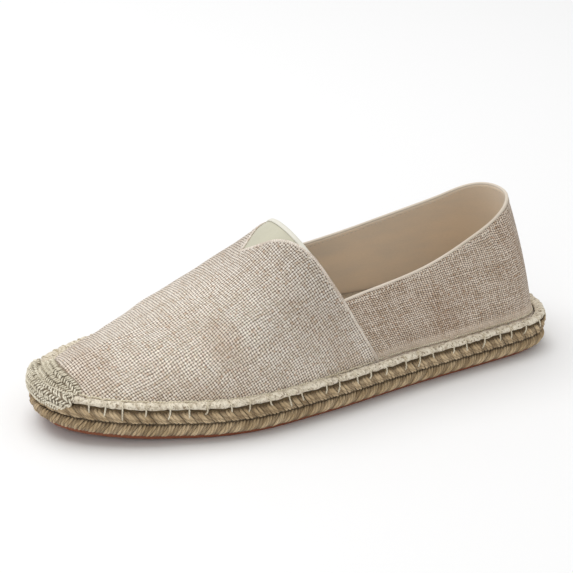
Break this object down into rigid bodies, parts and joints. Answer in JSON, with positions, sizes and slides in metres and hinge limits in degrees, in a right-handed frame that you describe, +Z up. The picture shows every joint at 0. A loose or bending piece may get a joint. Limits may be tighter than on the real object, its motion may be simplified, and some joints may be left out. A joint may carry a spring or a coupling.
{
  "type": "espadrille",
  "caption": "Slip-on espadrille: hollow cloth upper with an elastic throat gore, hand-sewn to a braided jute sole with a thin rubber outsole.",
  "frame": {"origin": "on the floor, under the middle of the shoe's outline", "axes": "+X to the toe, +Y to the shoe's outer side, +Z up"},
  "size_m": [0.2694, 0.0974, 0.0816],
  "materials": {
    "outsole_rubber": "matt red-brown rubber",
    "jute_braid": "braided natural jute, hairy",
    "insole_cloth": "plain woven cotton over a thin board",
    "linen": "coarse plain-woven natural linen with slubs",
    "elastic": "smooth close-woven elastic webbing",
    "thread": "thick twisted cotton thread"
  },
  "bodies": {
    "root": {"rubber_outsole": "outsole_rubber", "jute_sole": "jute_braid", "insole": "insole_cloth", "upper": "linen", "elastic_gore": "elastic", "toe_stitching": "thread"}
  },
  "joints": []
}
